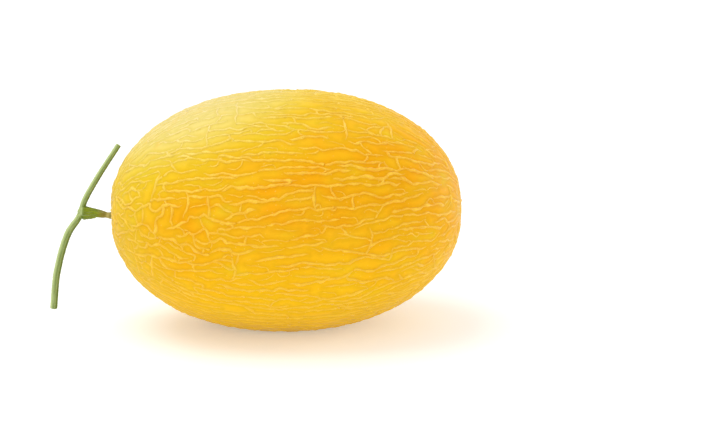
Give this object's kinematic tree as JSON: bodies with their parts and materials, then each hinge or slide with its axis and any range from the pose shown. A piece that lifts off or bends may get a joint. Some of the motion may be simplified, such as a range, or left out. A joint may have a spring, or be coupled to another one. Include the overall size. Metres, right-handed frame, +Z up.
{
  "type": "hami melon",
  "caption": "Whole hami melon lying on its side: a long golden fruit with a raised cork net, and a stalk that still holds a cut piece of its vine",
  "frame": {"origin": "middle of the flat ground spot under the fruit", "axes": "+X along the fruit from its stalk end to its blossom end, +Z up, +Y across it to complete a right-handed frame"},
  "size_m": [0.29, 0.1685, 0.168],
  "materials": {
    "rind": "satin",
    "stem": "matte"
  },
  "bodies": {
    "root": {"fruit": "rind", "stem": "stem"}
  },
  "joints": []
}
